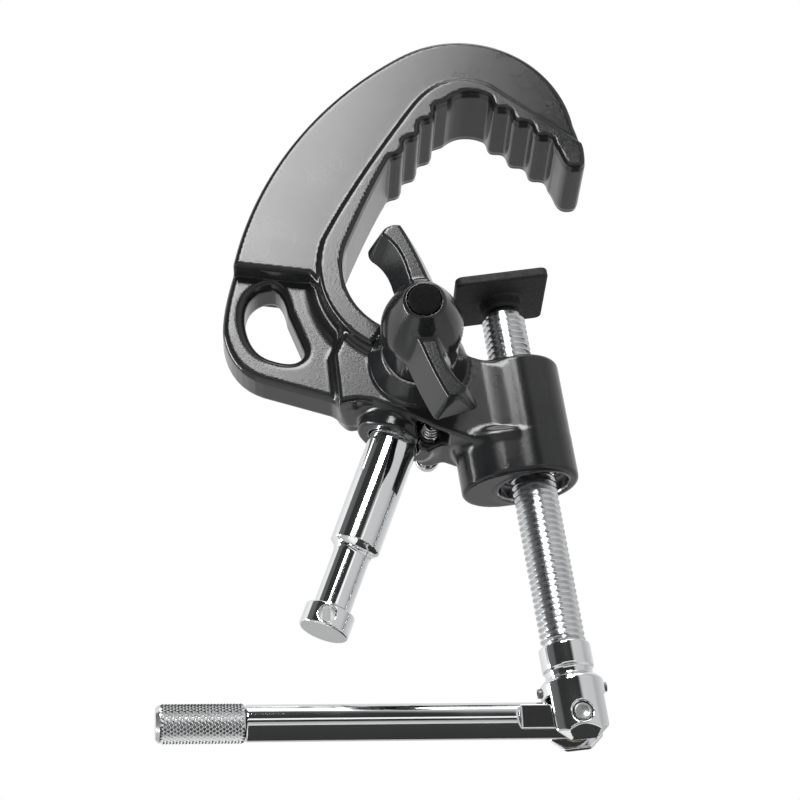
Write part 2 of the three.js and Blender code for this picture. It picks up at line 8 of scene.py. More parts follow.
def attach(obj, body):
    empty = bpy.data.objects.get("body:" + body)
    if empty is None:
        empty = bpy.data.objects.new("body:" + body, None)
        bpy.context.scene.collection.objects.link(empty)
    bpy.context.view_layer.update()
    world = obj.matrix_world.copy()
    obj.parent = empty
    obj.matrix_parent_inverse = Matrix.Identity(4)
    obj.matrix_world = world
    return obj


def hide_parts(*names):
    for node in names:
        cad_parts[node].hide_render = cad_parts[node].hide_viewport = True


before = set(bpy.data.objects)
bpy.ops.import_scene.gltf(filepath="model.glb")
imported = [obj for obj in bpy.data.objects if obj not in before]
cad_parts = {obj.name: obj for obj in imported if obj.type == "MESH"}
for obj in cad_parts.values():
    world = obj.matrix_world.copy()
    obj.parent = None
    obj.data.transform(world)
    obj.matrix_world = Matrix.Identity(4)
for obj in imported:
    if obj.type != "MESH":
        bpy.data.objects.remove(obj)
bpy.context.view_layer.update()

# ---- cast body ---------------------------------------------------------------
# The die-cast aluminium body: a C-shaped jaw with a raised toothed rim, a thinner
# plate with the safety eye, an arm, a vertical boss for the clamping screw and a
# sloping socket for the spigot. Painted with a fine pebbled semi-gloss black.
MM = 0.001
BODY_CELL = 0.8
BAND_HALF = 14.5
RIM_HALF = 16.5
EYE_HALF = 7.5
ARM_HALF = 13.0
BACK_ARC = (27.5, -24.2, 119.0)
CROWN_ARC = (-4.7, 50.4, 37.7)
THROAT = (-26.2, 5.7, 24.2)
RIM_WIDTH = 7.8
JAW_ROOF = 67.0
TOOTH_PITCH = 8.5
TOOTH_HEIGHT = 2.1
TIP_X = 34.2
TIP_Z = 34.4
ARM_BEVEL = (0.771, -0.158, 0.617)
ARM_BEVEL_AT = -66.7
BOSS_R = 14.5
BOSS_TOP = -28.5
BOSS_BOTTOM = -69.0
FOOT_R = 14.4
FOOT_X = -8.6
SOCKET_BOSS_R = 12.4
SOCKET_R = 8.4
SCREW_BORE_R = 7.6
NUT_POCKET_R = 11.2
INSERT_HOLE_R = 7.5
KNOB_X = -31.0
KNOB_Z = -27.0
SOCKET_TILT = math.radians(27.5)
SOCKET_DOWN = np.array([-math.sin(SOCKET_TILT), 0.0, -math.cos(SOCKET_TILT)])
GROOVE_AT = 17.5
PIN_OFFSET = 10.2
PIN_X = KNOB_X - math.sin(SOCKET_TILT) * GROOVE_AT + math.cos(SOCKET_TILT) * PIN_OFFSET
PIN_Z = KNOB_Z - math.cos(SOCKET_TILT) * GROOVE_AT - math.sin(SOCKET_TILT) * PIN_OFFSET
BOSS_FACE_Y = -22.4


def arc(circle, start, end, radius=None, step=3.0):
    """Points on a circle in the XZ plane between two angles in degrees."""
    cx, cz, r = circle
    r = radius or r
    count = max(2, int(abs(end - start) / step) + 1)
    return [(cx + r * math.cos(math.radians(a)), cz + r * math.sin(math.radians(a)))
            for a in np.linspace(start, end, count)]


def bend(p0, p1, p2, count=8):
    """Points on a quadratic curve, without its first point."""
    return [tuple((1 - t) ** 2 * a + 2 * t * (1 - t) * b + t * t * c for a, b, c in zip(p0, p1, p2))
            for t in np.linspace(0, 1, count + 1)[1:]]


def waves(start, degrees, count, first=0.0):
    """Rounded gripping waves along a straight line, standing into the jaw."""
    along = (math.cos(math.radians(degrees)), math.sin(math.radians(degrees)))
    inward = (-along[1], along[0])
    points = []
    for t in np.linspace(first, count, round((count - first) * 12) + 1):
        lift = TOOTH_HEIGHT * (1 - math.cos(2 * math.pi * t)) / 2
        points.append((start[0] + along[0] * t * TOOTH_PITCH + inward[0] * lift,
                       start[1] + along[1] * t * TOOTH_PITCH + inward[1] * lift))
    return points


def grip_line():
    """From the tip's inner side round the roof of the jaw and down the throat."""
    points = waves((30.4, 40.2), 134, 4, 0.5)
    points += bend(points[-1], (3.4, JAW_ROOF), (-1, JAW_ROOF))
    points += bend(points[-1], (-4.4, JAW_ROOF - 0.2), (-7.2, 64.6))
    points += waves((-11.1, 63.7), 224, 3)
    top = arc(THROAT, 153, 153.1)[0]
    points += bend(points[-1], (-37.5, 35), top)
    return points + arc(THROAT, 154, 235.8)[1:]


def tip_line(start):
    points = bend(start, (TIP_X + 0.6, 42), (TIP_X, TIP_Z + 2.6), 6)
    points += bend(points[-1], (TIP_X - 0.3, TIP_Z), (TIP_X - 2.6, TIP_Z), 5)
    points += bend(points[-1], (TIP_X - 6.2, TIP_Z - 0.2), (TIP_X - 7.2, TIP_Z + 3.2), 6)
    return points + [(TIP_X - 7.8, TIP_Z + 5.6)]


JOIN = math.degrees(math.atan2(CROWN_ARC[1] - BACK_ARC[1], CROWN_ARC[0] - BACK_ARC[0]))
band = arc(BACK_ARC, 161, JOIN, step=1.5) + arc(CROWN_ARC, JOIN, 1.2)[1:]
band += tip_line(band[-1]) + grip_line() + [(-47, -16), (-61, 8.2)]

rim = tip_line((TIP_X, 43.4))
rim = [(TIP_X, 43.4)] + rim + grip_line()
rim += arc(THROAT, 234, 154.8, THROAT[2] + RIM_WIDTH)
rim += bend(rim[-1], (-43, 38), (-19.4, 64), 14)
rim += bend(rim[-1], (-12, 72.3), (-3.6, 72.6)) + bend((-3.6, 72.6), (3, 72.8), (8.2, 68.8))

eye_start = arc(BACK_ARC, 160, 160.1)[0]
eye_plate = [eye_start, (-55, 20), (-47, -12), (-45, -38), (-58.5, -34.2), (-80.4, -24.2)]
eye_plate += bend(eye_plate[-1], (-90.6, -19), (-91, -6))
eye_plate += bend((-91, -6), (-90.6, 2), eye_start)[:-1]

eye_hole = [(-73.9, 8.6)] + bend((-73.9, 8.6), (-83.2, 7.8), (-83.4, -3.2), 12)
eye_hole += bend(eye_hole[-1], (-83.2, -13.4), (-76.5, -16.4), 12)
eye_hole += bend(eye_hole[-1], (-71.8, -18.8), (-69, -18.2))
eye_hole += bend((-69, -18.2), (-65.6, -17.2), (-66.3, -13.8))
eye_hole += [(-69.5, -1.0)] + bend((-69.5, -1.0), (-69.7, 8.0), (-73.9, 8.6), 10)[:-1]

arm = [arc(THROAT, 232, 232.1)[0], (-51, -10), (-57.2, -20), (-58, -37.4), (-52, -37)]
arm += [(-47.4, -38.3), (-39.2, -42.4), (-29.4, -49.9), (-17.6, -56.2), (-4, -56.2), (-4, -31.6)]


def outline(points, x, z):
    """Signed distance in the XZ plane to a closed outline, negative inside."""
    x, z = np.broadcast_arrays(np.asarray(x, np.float32), np.asarray(z, np.float32))
    best = np.full(x.shape, 1e9, np.float32)
    inside = np.zeros(x.shape, bool)
    for (ax, az), (bx, bz) in zip(points, points[1:] + points[:1]):
        ex, ez = bx - ax, bz - az
        length = ex * ex + ez * ez
        if length < 1e-9:
            continue
        t = np.clip(((x - ax) * ex + (z - az) * ez) / length, 0, 1)
        best = np.minimum(best, (x - ax - t * ex) ** 2 + (z - az - t * ez) ** 2)
        if ez:
            crosses = (az > z) != (bz > z)
            inside ^= crosses & (x < (z - az) / ez * ex + ax)
    return np.where(inside, -1, 1) * np.sqrt(best)


def meet(a, b, radius):
    """Both distances at once, with the edge between them rounded."""
    a, b = a + radius, b + radius
    outer = np.sqrt(np.maximum(a, 0) ** 2 + np.maximum(b, 0) ** 2)
    return np.minimum(np.maximum(a, b), 0) + outer - radius


def join(a, b, fillet):
    """Union of two solids, with a fillet where they meet."""
    h = np.maximum(fillet - np.abs(a - b), 0) / fillet
    return np.minimum(a, b) - h * h * fillet / 4


def cut(a, b, edge):
    """Solid a with solid b taken out, with the edge eased."""
    return -join(-a, b, edge)


def plate(points, half, radius, x, y, z):
    return meet(outline(points, x, z), np.abs(y) - half, radius)


def cylinder(px, pz, r, lo, hi, radius, across_x, across_z, along):
    """A round bar: two coordinates across it and one along it."""
    round_part = np.sqrt((across_x - px) ** 2 + (across_z - pz) ** 2) - r
    return meet(round_part, np.abs(along - (lo + hi) / 2) - (hi - lo) / 2, radius)


def socket_frame(x, y, z):
    """Distance down the sloping socket from the knob's axis, and distance off it."""
    dx, dz = x - KNOB_X, z - KNOB_Z
    down = dx * SOCKET_DOWN[0] + dz * SOCKET_DOWN[2]
    side = dx * SOCKET_DOWN[2] - dz * SOCKET_DOWN[0]
    return down, np.sqrt(side ** 2 + y ** 2)


def cone_boss(x, y, z):
    """The wing bolt's boss, which narrows towards its face."""
    r = np.sqrt((x - KNOB_X) ** 2 + (z - KNOB_Z) ** 2)
    taper = np.clip((y - BOSS_FACE_Y) / 9.8, 0, 1)
    side = (r - (12.0 + 3.6 * taper)) * 0.94
    return meet(side, np.abs(y + 13.2) - 9.2, 0.9)


def body_distance(x, y, z):
    flank = plate(band, BAND_HALF, 1.7, x, y, z)
    edge = plate(rim, RIM_HALF, 1.3, x, y, z)
    eye = plate(eye_plate, EYE_HALF, 2.3, x, y, z)
    jaw = np.minimum(np.minimum(join(flank, edge, 1.0), join(eye, edge, 6.5)), flank)
    lower = plate(arm, ARM_HALF, 1.6, x, y, z)
    bevel = ARM_BEVEL_AT - ARM_BEVEL[0] * x - ARM_BEVEL[1] * y - ARM_BEVEL[2] * z
    lower = meet(lower, bevel, 1.2)
    boss = cylinder(0, 0, BOSS_R, BOSS_BOTTOM, BOSS_TOP, 1.8, x, y, z)
    foot_x = x - np.clip(x, FOOT_X, 0)
    foot = meet(np.sqrt(foot_x ** 2 + y ** 2) - FOOT_R, np.abs(z + 61.25) - 7.75, 1.3)
    lower = join(lower, join(boss, foot, 0.5), 3.0)
    down, off = socket_frame(x, y, z)
    socket = meet(off - SOCKET_BOSS_R, np.abs(down - 13.75) - 9.75, 0.9)
    lower = join(lower, socket, 3.0)
    lug = cylinder(PIN_X, PIN_Z, 5.0, -3, 13, 0.7, x, z, y)
    lower = join(lower, lug, 2.0)
    solid = join(join(jaw, lower, 3.0), cone_boss(x, y, z), 1.0)
    solid = cut(solid, outline(eye_hole, x, z) + 0 * y, 3.4)
    screw_r = np.sqrt(x ** 2 + y ** 2)
    solid = cut(solid, np.maximum(screw_r - SCREW_BORE_R, z + 20), 0.9)
    solid = cut(solid, np.maximum(screw_r - NUT_POCKET_R, z + 48.1), 1.0)
    solid = cut(solid, np.maximum(off - SOCKET_R, -4.9 - down), 0.8)
    bolt_way = np.sqrt((x - KNOB_X) ** 2 + (z - KNOB_Z) ** 2)
    solid = cut(solid, np.maximum(bolt_way - INSERT_HOLE_R, y + 11.1), 0.8)
    solid = cut(solid, np.maximum(bolt_way - 5.6, y), 0.4)
    pocket = np.maximum(np.abs(x - PIN_X - 0.1) - 4.7, np.abs(y + 7.2) - 4.2)
    pocket = np.maximum(pocket, z - PIN_Z - 4.2)
    solid = cut(solid, pocket, 1.0)
    pin_way = np.sqrt((x - PIN_X) ** 2 + (z - PIN_Z) ** 2) - 3.3
    return cut(solid, np.maximum(pin_way, -y - 4), 0.5)


def skin(distance, low, high, cell):
    """Closed quads round the solid where distance is negative: one point in each cell
    that the surface crosses, then moved exactly onto it. Returns points, quads, normals."""
    axes = [np.arange(lo - 2 * cell, hi + 3 * cell, cell, dtype=np.float32)
            for lo, hi in zip(low, high)]
    x, y, z = axes[0][:, None, None], axes[1][None, :, None], axes[2][None, None, :]
    field = np.asarray(distance(x, y, z), np.float32)
    field = np.broadcast_to(field, tuple(len(a) for a in axes)).copy()
    field[field == 0] = 1e-6
    inner = field < 0
    shape = tuple(n - 1 for n in field.shape)
    total = np.zeros(shape + (3,), np.float32)
    hits = np.zeros(shape, np.float32)
    corners = [(i, j, k) for i in (0, 1) for j in (0, 1) for k in (0, 1)]

    def part(array, c):
        return array[tuple(slice(o, o + n) for o, n in zip(c, shape))]

    for c in corners:
        for axis in range(3):
            if c[axis]:
                continue
            d = list(c)
            d[axis] = 1
            a, b = part(field, c), part(field, d)
            crossed = part(inner, c) != part(inner, d)
            t = np.where(crossed, a / np.where(crossed, a - b, 1), 0)
            hits += crossed
            for m in range(3):
                total[..., m] += np.where(crossed, t if m == axis else c[m], 0)
    used = hits > 0
    index = np.full(shape, -1, np.int64)
    index[used] = np.arange(int(used.sum()))
    place = np.argwhere(used)
    points = total[used] / hits[used][:, None] + place
    points = points * cell + np.array([a[0] for a in axes], np.float32)
    quads = []
    for axis in range(3):
        u, v = (axis + 1) % 3, (axis + 2) % 3
        first = [slice(1, None)] * 3
        first[axis] = slice(0, -1)
        second = list(first)
        second[axis] = slice(1, None)
        low_in, high_in = inner[tuple(first)], inner[tuple(second)]
        for wanted, flip in ((low_in & ~high_in, False), (~low_in & high_in, True)):
            at = np.argwhere(wanted)
            at[:, u] += 1
            at[:, v] += 1
            ring = []
            for du, dv in ((0, 0), (-1, 0), (-1, -1), (0, -1)):
                q = at.copy()
                q[:, u] += du
                q[:, v] += dv
                ring.append(index[q[:, 0], q[:, 1], q[:, 2]])
            ring = np.stack(ring, 1)
            quads.append(ring[:, ::-1] if flip else ring)
    quads = np.concatenate(quads)
    step = cell * 0.12
    for _ in range(3):
        px, py, pz = points.T
        slope = np.stack([
            distance(px + step, py, pz) - distance(px - step, py, pz),
            distance(px, py + step, pz) - distance(px, py - step, pz),
            distance(px, py, pz + step) - distance(px, py, pz - step)], 1) / (2 * step)
        size = np.maximum(np.linalg.norm(slope, axis=1), 0.3)[:, None]
        normal = slope / size
        move = np.clip(distance(px, py, pz)[:, None] / size, -0.6 * cell, 0.6 * cell)
        points = points - normal * move * 0.9
    return points, quads, normal


def mesh_piece(name, points, faces, normals=None):
    """A mesh object at the origin, from points in millimetres."""
    data = bpy.data.meshes.new(name)
    data.from_pydata((np.asarray(points, float) * MM).tolist(), [], np.asarray(faces).tolist()
                     if isinstance(faces, np.ndarray) else faces)
    data.validate()
    data.shade_smooth()
    if normals is not None and len(data.vertices) == len(normals):
        unit = normals / np.maximum(np.linalg.norm(normals, axis=1), 1e-6)[:, None]
        data.normals_split_custom_set_from_vertices(unit.tolist())
    obj = bpy.data.objects.new(name, data)
    bpy.context.scene.collection.objects.link(obj)
    return obj


def fit_out(obj, material, body, slot, *nodes):
    """Gives a piece its finish and its place in the assembly."""
    obj.data.materials.clear()
    obj.data.materials.append(material)
    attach(obj, body)
    if nodes:
        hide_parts(*nodes)


def new_material(name):
    material = bpy.data.materials.new(name)
    material.use_nodes = True
    tree = material.node_tree
    shader = tree.nodes["Principled BSDF"]
    return material, tree, shader


def add_node(tree, kind, inputs=None, **settings):
    node = tree.nodes.new(kind)
    for key, value in settings.items():
        setattr(node, key, value)
    for key, value in (inputs or {}).items():
        if isinstance(value, bpy.types.NodeSocket):
            tree.links.new(value, node.inputs[key])
        else:
            node.inputs[key].default_value = value
    return node


def ramp(tree, source, low, high, dark, light):
    """Source remapped from low..high to dark..light."""
    node = add_node(tree, "ShaderNodeMapRange", {"Value": source, "From Min": low, "From Max": high,
                                                 "To Min": dark, "To Max": light})
    return node.outputs["Result"]


def mix_colour(tree, factor, first, second):
    node = tree.nodes.new("ShaderNodeMix")
    node.data_type = "RGBA"
    for socket, value in ((node.inputs[0], factor), (node.inputs[6], first), (node.inputs[7], second)):
        if isinstance(value, bpy.types.NodeSocket):
            tree.links.new(value, socket)
        else:
            socket.default_value = value
    return node.outputs[2]


def on_object(tree):
    return add_node(tree, "ShaderNodeTexCoord").outputs["Object"]


def noise(tree, scale, detail=2.0):
    node = add_node(tree, "ShaderNodeTexNoise", {"Vector": on_object(tree), "Scale": scale, "Detail": detail})
    return node.outputs["Fac"]


def paint_material():
    """Pebbled black paint, rubbed thin to bare metal where the bare attribute is 1."""
    material, tree, shader = new_material("pebbled_black_paint")
    bare = add_node(tree, "ShaderNodeAttribute", attribute_name="bare").outputs["Fac"]
    broad = noise(tree, 55, 3)
    fine = noise(tree, 2400, 2)
    patchy = ramp(tree, broad, 0.35, 0.7, 0.0, 1.0)
    paint = mix_colour(tree, patchy, (0.0125, 0.013, 0.014, 1), (0.019, 0.0195, 0.0205, 1))
    tree.links.new(mix_colour(tree, bare, paint, (0.62, 0.62, 0.63, 1)), shader.inputs["Base Color"])
    tree.links.new(bare, shader.inputs["Metallic"])
    rough = add_node(tree, "ShaderNodeMath", {0: ramp(tree, broad, 0.3, 0.7, 0.15, 0.19),
                                              1: ramp(tree, fine, 0.3, 0.7, -0.03, 0.04)}, operation="ADD")
    tree.links.new(rough.outputs[0], shader.inputs["Roughness"])
    pebble = add_node(tree, "ShaderNodeTexVoronoi", {"Vector": on_object(tree), "Scale": 3400.0},
                      feature="SMOOTH_F1")
    orange = noise(tree, 1500, 2)
    height = add_node(tree, "ShaderNodeMath", {0: pebble.outputs["Distance"], 1: orange}, operation="ADD")
    bump = add_node(tree, "ShaderNodeBump", {"Height": height.outputs[0], "Strength": 0.3,
                                             "Distance": 0.00004})
    tree.links.new(bump.outputs["Normal"], shader.inputs["Normal"])
    return material


points, quads, normals = skin(body_distance, (-93, -23, -70), (36, 17.5, 89.5), BODY_CELL)
body = mesh_piece("cast_body", points, quads, normals)
px, py, pz = points.T
ring_r = np.sqrt((px - KNOB_X) ** 2 + (pz - KNOB_Z) ** 2)
screw_r = np.sqrt(px ** 2 + py ** 2)
down, off = socket_frame(px, py, pz)
bare = np.clip((BOSS_FACE_Y + 0.25 - py) / 0.15, 0, 1) * (ring_r < 12.2)
bare = np.maximum(bare, np.clip((SOCKET_R + 0.35 - off) / 0.2, 0, 1) * (down > -6) * (down < 24))
in_bore = (screw_r < 7.9) & (pz < -20)
in_pocket = (screw_r < 11.4) & (pz < -47) & (pz > -69.1)
bare = np.maximum(bare, (in_bore | in_pocket).astype(float))
if len(body.data.vertices) == len(bare):
    mark = body.data.attributes.new("bare", "FLOAT", "POINT")
    mark.data.foreach_set("value", bare.astype(np.float32))
fit_out(body, paint_material(), "frame", "black_paint", "body_casting")

# ---- screw nut and its ring -----------------------------------------------------
# A round steel nut pressed into the boss from below, kept in by a wire ring. They, the
# two snap rings and the fork's roll pin are plain oiled steel and small enough to stay
# as packed.


def steel_material(name, colour, roughness):
    """Turned or plated steel with a faint uneven grain."""
    material, tree, shader = new_material(name)
    scratch = 0.06
    grain = noise(tree, 600.0, 3)
    cloud = noise(tree, 60, 2)
    light = tuple(min(1.0, c * 1.08) for c in colour) + (1,)
    dark = tuple(c * 0.86 for c in colour) + (1,)
    tree.links.new(mix_colour(tree, cloud, dark, light), shader.inputs["Base Color"])
    shader.inputs["Metallic"].default_value = 1.0
    tree.links.new(ramp(tree, grain, 0.3, 0.7, roughness - scratch, roughness + scratch),
                   shader.inputs["Roughness"])
    bump = add_node(tree, "ShaderNodeBump", {"Height": grain, "Strength": 0.05, "Distance": 0.0001})
    tree.links.new(bump.outputs["Normal"], shader.inputs["Normal"])
    return material


def refinish(material, *nodes):
    """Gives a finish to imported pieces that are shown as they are."""
    for node in nodes:
        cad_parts[node].data.materials.clear()
        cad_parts[node].data.materials.append(material)


refinish(steel_material("oiled_steel", (0.22, 0.22, 0.23), 0.38), "screw_nut", "nut_circlip",
         "pad_snap_ring", "safety_pin_clip", "fork_roll_pin")

# ---- clamping screw --------------------------------------------------------------
# An M14 x 2 steel screw, bright zinc plated. Its chamfered top carries the pad on a
# turned journal, and its lower end is turned down and pinned into the fork.
SCREW_R = 7.0
SCREW_PITCH = 2.0
THREAD_DEPTH = 1.15
SCREW_TOP = -7.6
SCREW_BOTTOM = -122.7


def ease(profile, radius, steps=4):
    """A [radius, height] outline with every corner rounded, but for its ends."""
    out = [profile[0]]
    for before, here, after in zip(profile, profile[1:], profile[2:]):
        before, here, after = (np.array(p, float) for p in (before, here, after))
        a, b = before - here, after - here
        la, lb = np.linalg.norm(a), np.linalg.norm(b)
        reach = min(radius, la * 0.45, lb * 0.45)
        start, end = here + a / la * reach, here + b / lb * reach
        out += [tuple(start)] + bend(start, here, end, steps)
    return out + [profile[-1]]


def turned(profile, sides):
    """A solid of revolution about Z. A profile that starts and ends on the axis is
    closed by poles, and any other is joined back to its start."""
    angles = np.linspace(0, 2 * math.pi, sides, endpoint=False)
    points, rings = [], []
    for r, h in profile:
        if r < 1e-6:
            rings.append([len(points)])
            points.append((0, 0, h))
        else:
            rings.append(list(range(len(points), len(points) + sides)))
            points += [(r * math.cos(a), r * math.sin(a), h) for a in angles]
    pairs = list(zip(rings, rings[1:]))
    if len(rings[0]) > 1:
        pairs.append((rings[-1], rings[0]))
    faces = []
    for low, high in pairs:
        for i in range(sides):
            j = (i + 1) % sides
            if len(low) == 1 and len(high) > 1:
                faces.append((low[0], high[j], high[i]))
            elif len(high) == 1 and len(low) > 1:
                faces.append((low[i], low[j], high[0]))
            elif len(low) > 1:
                faces.append((low[i], low[j], high[j], high[i]))
    return points, faces


def outward(obj, sharp=None):
    """Merges doubles, turns every face outwards and keeps only the real edges crisp."""
    mesh = bmesh.new()
    mesh.from_mesh(obj.data)
    bmesh.ops.remove_doubles(mesh, verts=mesh.verts, dist=1e-7)
    bmesh.ops.recalc_face_normals(mesh, faces=mesh.faces)
    mesh.to_mesh(obj.data)
    mesh.free()
    obj.data.shade_smooth()
    if sharp:
        obj.data.set_sharp_from_angle(angle=math.radians(sharp))
    return obj


def coil_tree():
    """Geometry nodes: a section swept along a spiral about Z. It adds a screw thread
    to the turned piece that it is given, or winds a spring on its own."""
    tree = bpy.data.node_groups.new("wound_coil", "GeometryNodeTree")
    face = tree.interface
    face.new_socket("Geometry", in_out="INPUT", socket_type="NodeSocketGeometry")
    for label in ("Turns", "Start radius", "End radius", "Height", "Base", "Half width",
                  "Crest width", "Depth"):
        face.new_socket(label, in_out="INPUT", socket_type="NodeSocketFloat")
    face.new_socket("Steps a turn", in_out="INPUT", socket_type="NodeSocketInt")
    face.new_socket("Round wire", in_out="INPUT", socket_type="NodeSocketBool")
    face.new_socket("Material", in_out="INPUT", socket_type="NodeSocketMaterial")
    face.new_socket("Geometry", in_out="OUTPUT", socket_type="NodeSocketGeometry")
    given = tree.nodes.new("NodeGroupInput").outputs
    spiral = add_node(tree, "GeometryNodeCurveSpiral", {
        "Resolution": given["Steps a turn"], "Rotations": given["Turns"],
        "Start Radius": given["Start radius"], "End Radius": given["End radius"],
        "Height": given["Height"]})
    lift = add_node(tree, "ShaderNodeCombineXYZ", {"Z": given["Base"]})
    moved = add_node(tree, "GeometryNodeTransform", {"Geometry": spiral.outputs[0],
                                                     "Translation": lift.outputs[0]})
    upright = add_node(tree, "GeometryNodeSetCurveNormal", {"Curve": moved.outputs[0]})
    upright.mode = "Z_UP"

    def times(source, factor):
        return add_node(tree, "ShaderNodeMath", {0: source, 1: factor}, operation="MULTIPLY").outputs[0]

    half, crest_half, depth = given["Half width"], given["Crest width"], given["Depth"]
    root, crest = times(depth, 0.2), times(depth, -1.0)
    ridge = add_node(tree, "GeometryNodeCurvePrimitiveQuadrilateral", mode="POINTS")
    corners = ((times(half, -1.0), root), (half, root), (crest_half, crest), (times(crest_half, -1.0), crest))
    for i, (along, deep) in enumerate(corners):
        corner = add_node(tree, "ShaderNodeCombineXYZ", {"X": deep, "Y": along})
        tree.links.new(corner.outputs[0], ridge.inputs[f"Point {i + 1}"])
    wire = add_node(tree, "GeometryNodeCurvePrimitiveCircle", {"Resolution": 12, "Radius": half})
    section = add_node(tree, "GeometryNodeSwitch", {"Switch": given["Round wire"],
                                                   "False": ridge.outputs[0], "True": wire.outputs[0]},
                       input_type="GEOMETRY")
    swept = add_node(tree, "GeometryNodeCurveToMesh", {
        "Curve": upright.outputs[0], "Profile Curve": section.outputs[0], "Fill Caps": True})
    both = tree.nodes.new("GeometryNodeJoinGeometry")
    tree.links.new(given["Geometry"], both.inputs[0])
    tree.links.new(swept.outputs[0], both.inputs[0])
    real = add_node(tree, "GeometryNodeRealizeInstances", {"Geometry": both.outputs[0]})
    dressed = add_node(tree, "GeometryNodeSetMaterial", {"Geometry": real.outputs[0],
                                                        "Material": given["Material"]})
    out = tree.nodes.new("NodeGroupOutput")
    tree.links.new(dressed.outputs[0], out.inputs[0])
    return tree


COIL = coil_tree()


def grown(obj, tree, values):
    """Runs a node tree on a piece, and gives back the result as a plain mesh."""
    modifier = obj.modifiers.new("made", "NODES")
    modifier.node_group = tree
    sockets = {s.name: s.identifier for s in tree.interface.items_tree
               if s.item_type == "SOCKET" and s.in_out == "INPUT"}
    for label, value in values.items():
        modifier[sockets[label]] = value
    bpy.context.view_layer.update()
    evaluated = obj.evaluated_get(bpy.context.evaluated_depsgraph_get())
    result = bpy.data.meshes.new_from_object(evaluated)
    obj.modifiers.remove(modifier)
    obj.data = result
    return obj


def with_thread(obj, radius, pitch, depth, low, high, material):
    """Adds a V thread to a turned core, in millimetres along Z."""
    turns = (high - low) / pitch
    grown(obj, COIL, {
        "Turns": turns, "Start radius": (radius - depth) * MM, "End radius": (radius - depth) * MM,
        "Height": (high - low) * MM, "Base": low * MM, "Half width": pitch * 0.5 * MM,
        "Crest width": pitch * 0.11 * MM, "Depth": depth * MM, "Steps a turn": 40,
        "Round wire": False, "Material": material})
    return outward(obj, 28)


zinc = steel_material("bright_zinc", (0.74, 0.75, 0.76), 0.2)
core = SCREW_R - THREAD_DEPTH
screw_profile = ease([
    (0, -138.6), (5, -138.6), (5, SCREW_BOTTOM), (core, SCREW_BOTTOM + 0.2), (core, SCREW_TOP - 1.2),
    (core - 0.6, SCREW_TOP), (3.9, SCREW_TOP), (3.9, -4.6), (2.9, -4.6), (2.9, -3.2), (3.9, -3.2),
    (3.9, -2.4), (3.4, -1.9), (0, -1.9)], 0.25, 2)
screw = mesh_piece("clamping_screw", *turned(screw_profile, 80))
with_thread(screw, SCREW_R, SCREW_PITCH, THREAD_DEPTH, SCREW_BOTTOM + 1.2, SCREW_TOP - 2.2, zinc)
fit_out(screw, zinc, "screw", "zinc_steel", "main_screw")

# ---- pressure pad ------------------------------------------------------------------
# A pressed steel pad, painted black, with a hub underneath that turns on the screw's
# journal. A snap ring inside the hub keeps it on.
PAD_X = 15.0
PAD_Y = 16.0
PAD_HALF_T = 1.6
HUB_R = 6.8
HUB_BORE_R = 4.3
RING_GROOVE_R = 5.2


def pad_distance(x, y, z):
    square = meet(np.abs(x) - PAD_X, np.abs(y) - PAD_Y, 2.4)
    sheet = meet(square, np.abs(z + PAD_HALF_T) - PAD_HALF_T, 0.7)
    r = np.sqrt(x ** 2 + y ** 2)
    hub = meet(r - HUB_R, np.abs(z + 4.4) - 2.8, 0.6)
    solid = join(sheet, hub, 1.2)
    solid = cut(solid, np.maximum(r - HUB_BORE_R, z + PAD_HALF_T), 0.3)
    return cut(solid, np.maximum(r - RING_GROOVE_R, np.abs(z + 3.9) - 1.0), 0.2)


def dull_black(name, colour, rough_low, rough_high, grain_scale, bump_depth, strength=0.5):
    """Matt or satin black plastic or paint with an even fine grain."""
    material, tree, shader = new_material(name)
    cloud = noise(tree, 70, 3)
    grain = noise(tree, grain_scale, 2)
    dark = tuple(c * 0.8 for c in colour) + (1,)
    light = tuple(c * 1.25 for c in colour) + (1,)
    tree.links.new(mix_colour(tree, cloud, dark, light), shader.inputs["Base Color"])
    tree.links.new(ramp(tree, grain, 0.3, 0.7, rough_low, rough_high), shader.inputs["Roughness"])
    bump = add_node(tree, "ShaderNodeBump", {"Height": grain, "Strength": strength,
                                             "Distance": bump_depth})
    tree.links.new(bump.outputs["Normal"], shader.inputs["Normal"])
    return material


pad_points, pad_quads, pad_normals = skin(pad_distance, (-15, -16, -7.2), (15, 16, 0), 0.5)
pad = mesh_piece("pressure_pad", pad_points, pad_quads, pad_normals)
pad_paint = dull_black("pad_paint", (0.012, 0.0125, 0.013), 0.6, 0.75, 900, 0.0002)
fit_out(pad, pad_paint, "pad", "black_pad", "pressure_pad")

# ---- fork and folding handle -----------------------------------------------------
# A chromed steel fork pinned on the screw's end, and a chromed bar that pivots in it.
# The bar stands nearly square to the screw to turn it, and folds down in line with it.
HANDLE_TURN = math.radians(5)
HANDLE_LIFT = math.radians(6)
PIVOT_Z = -146.8
HANDLE_LENGTH = 128.7
GRIP_LENGTH = 27.0
ROD_R = 5.65
TONGUE_HALF = 4.15
PIN_HOLE_R = 3.3
GRIP_R = 6.1
FORK_R = 10.0
FORK_BOTTOM = -154.6
FORK_TOP = -133.6
FORK_BEVEL = 3.7
COLLAR_R = 8.1
COLLAR_TOP = -123.0
SLOT_HALF = 4.9
SLOT_TOP = -139.8
ROLL_PIN_Z = -137.1
SLANT = 0.7                        # about 1 over root 2: evens out a 45 degree face
TURN = Matrix.Rotation(HANDLE_TURN, 4, "Z")
LIFT = Matrix.Rotation(HANDLE_LIFT, 4, "Y")
AT_PIVOT = TURN @ Matrix.Translation((0, 0, PIVOT_Z * MM))
ALONG_HANDLE = AT_PIVOT @ LIFT @ Matrix.Rotation(-math.pi / 2, 4, "Y")
